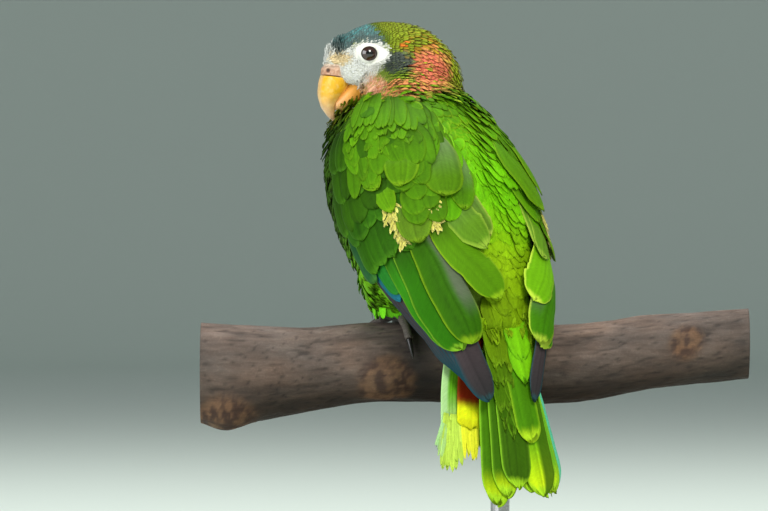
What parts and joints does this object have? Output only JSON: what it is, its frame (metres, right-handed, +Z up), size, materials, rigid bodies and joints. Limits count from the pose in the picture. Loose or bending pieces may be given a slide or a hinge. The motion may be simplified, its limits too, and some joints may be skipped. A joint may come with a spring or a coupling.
{
  "type": "perched yellow-billed amazon parrot model",
  "caption": "Still life-size amazon parrot looking over its shoulder, gripping a short branch perch on a flat display stand.",
  "frame": {"origin": "middle of the stand's underside, straight under the rod", "axes": "+Z up, +X along the branch, -Y the side that the bird turns its back to"},
  "size_m": [0.26, 0.17, 0.2636],
  "materials": {
    "plumage_green": "satin overlapping feather vanes, bright green with darker edges",
    "plumage_head": "small feathers: slate-blue forecrown, white face, green crown, salmon neck",
    "plumage_flight": "smooth slate-black flight feathers with blue webs",
    "plumage_tail": "green tail feathers with yellow-green tips",
    "bill_horn": "satin horn, orange-yellow at the base, paler and pinkish towards the tip",
    "cere_skin": "matte bare skin",
    "eye_dark": "wet gloss, dark brown iris and black pupil",
    "foot_skin": "matte scaly skin",
    "claw_horn": "satin dark horn",
    "bark": "rough grey-brown bark with knots, pale cut ends",
    "stand_wood": "satin lacquered hardwood",
    "stand_steel": "brushed"
  },
  "bodies": {
    "root": {"bill_lower": "bill_horn", "bill_upper": "bill_horn", "cere": "cere_skin", "claw_left_back_inner": "claw_horn", "claw_left_back_outer": "claw_horn", "claw_left_front_inner": "claw_horn", "claw_left_front_outer": "claw_horn", "claw_right_back_inner": "claw_horn", "claw_right_back_outer": "claw_horn", "claw_right_front_inner": "claw_horn", "claw_right_front_outer": "claw_horn", "eye_left": "eye_dark", "eye_right": "eye_dark", "foot_left": "foot_skin", "foot_right": "foot_skin", "head": "plumage_head", "neck": "plumage_head", "perch": "bark", "stand_base": "stand_wood", "stand_rod": "stand_steel", "tail_coverts_under": "plumage_tail", "tail_coverts_upper": "plumage_tail", "tail_left_fourth": "plumage_tail", "tail_left_inner": "plumage_tail", "tail_left_middle": "plumage_tail", "tail_left_outer": "plumage_tail", "tail_left_second": "plumage_tail", "tail_left_third": "plumage_tail", "tail_right_fourth": "plumage_tail", "tail_right_inner": "plumage_tail", "tail_right_middle": "plumage_tail", "tail_right_outer": "plumage_tail", "tail_right_second": "plumage_tail", "tail_right_third": "plumage_tail", "thigh_left": "plumage_green", "thigh_right": "plumage_green", "trunk": "plumage_green", "wing_left_coverts": "plumage_green", "wing_left_primaries": "plumage_flight", "wing_left_secondaries": "plumage_green", "wing_right_coverts": "plumage_green", "wing_right_primaries": "plumage_flight", "wing_right_secondaries": "plumage_green"}
  },
  "joints": []
}
